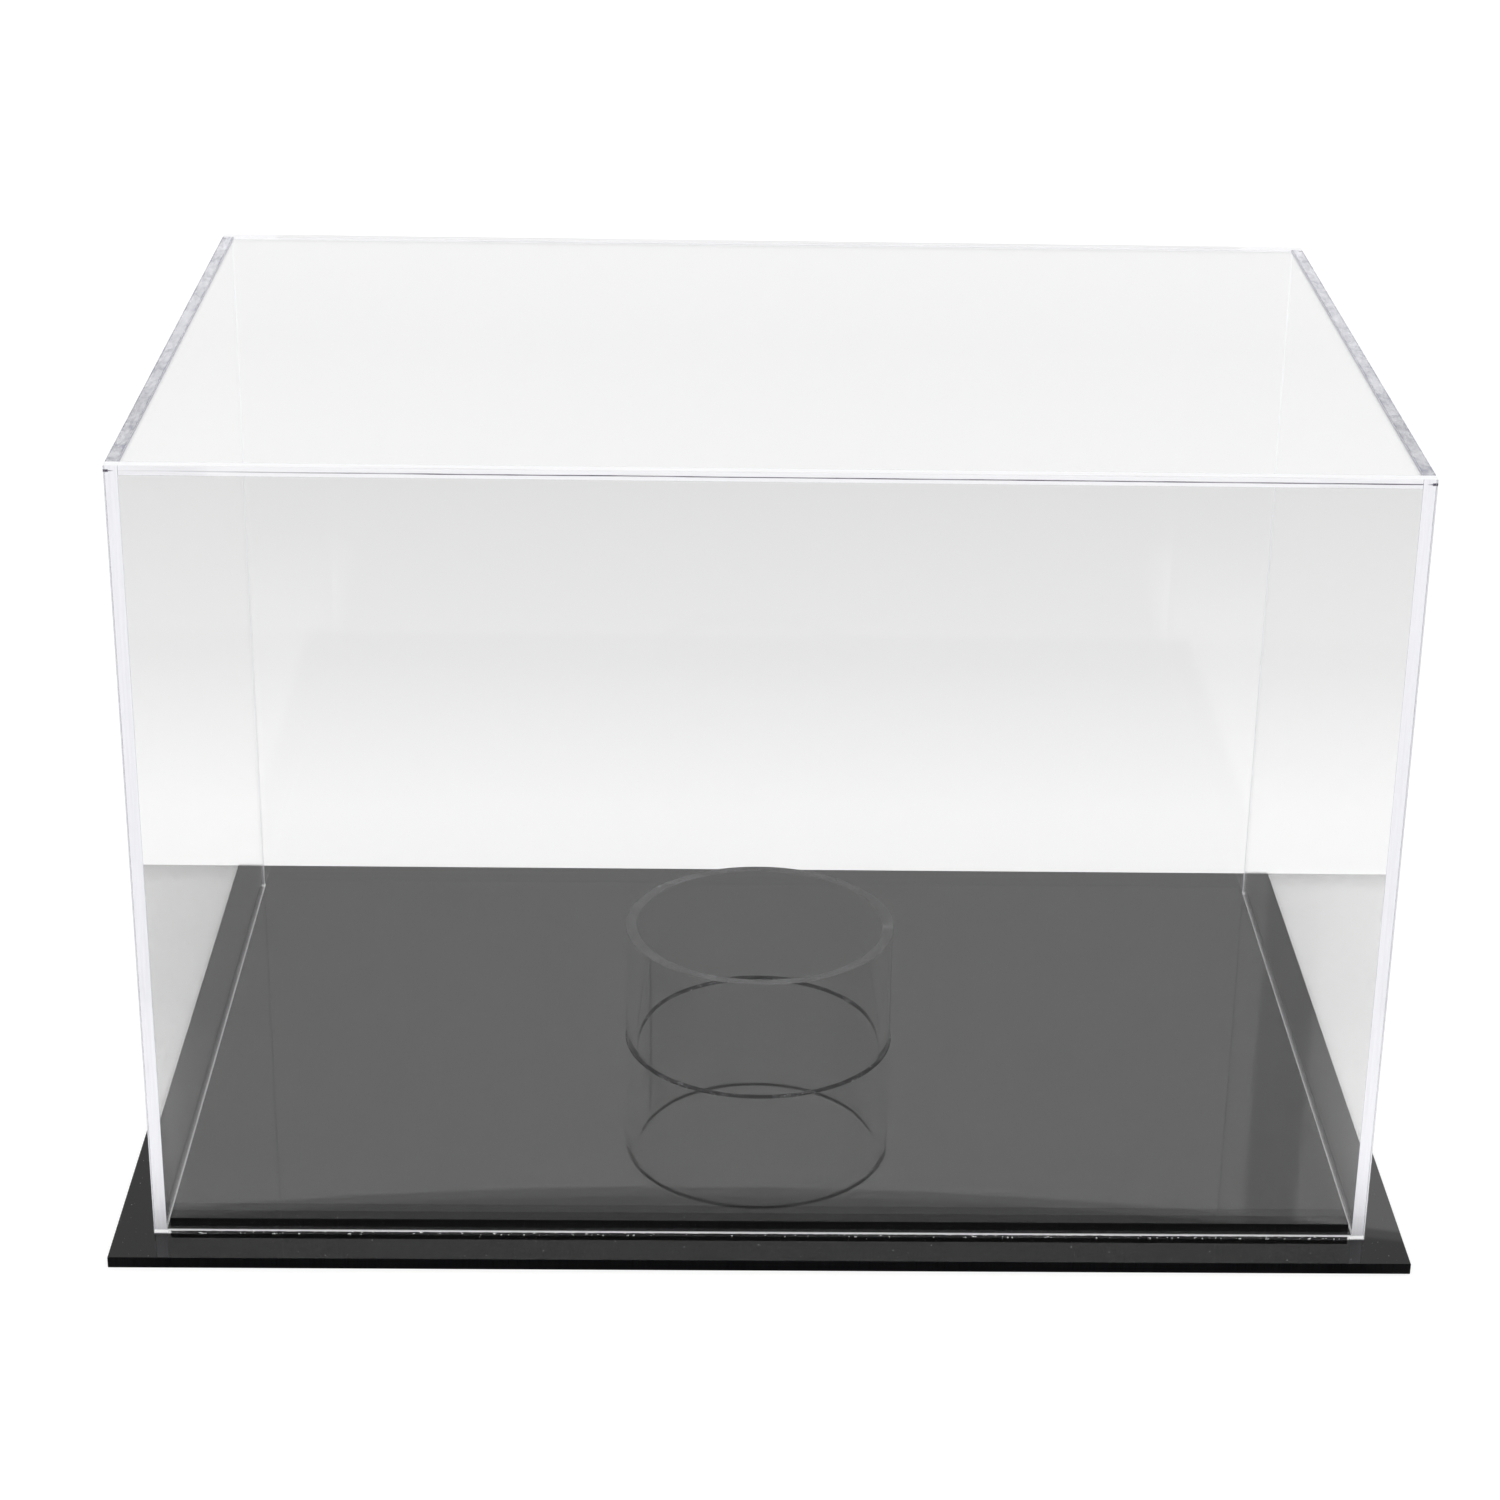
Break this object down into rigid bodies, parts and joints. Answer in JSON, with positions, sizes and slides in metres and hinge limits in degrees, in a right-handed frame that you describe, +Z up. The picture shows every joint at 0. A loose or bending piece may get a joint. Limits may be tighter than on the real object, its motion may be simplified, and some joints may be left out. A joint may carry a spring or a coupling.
{
  "type": "ball display case",
  "caption": "Clear acrylic box cover over a glossy black two-level base with a clear ring stand, for displaying a football.",
  "frame": {"origin": "middle of the base's underside, at the bottom of the bounding box", "axes": "+X is the width, to the right as seen from the front, the front faces -Y, and +Z is up"},
  "size_m": [0.331, 0.235, 0.2093],
  "materials": {
    "black_acrylic": "polished",
    "clear_acrylic": "polished"
  },
  "bodies": {
    "base": {"base_sheet": "black_acrylic", "riser_sheet": "black_acrylic", "ring_stand": "clear_acrylic"},
    "cover": {"front_wall": "clear_acrylic", "back_wall": "clear_acrylic", "left_wall": "clear_acrylic", "right_wall": "clear_acrylic", "lid_panel": "clear_acrylic"}
  },
  "joints": [
    {"name": "cover_lift", "type": "slide", "parent": "base", "child": "cover", "axis": [0, 0, 1], "range_m": [0, 0.22]}
  ]
}
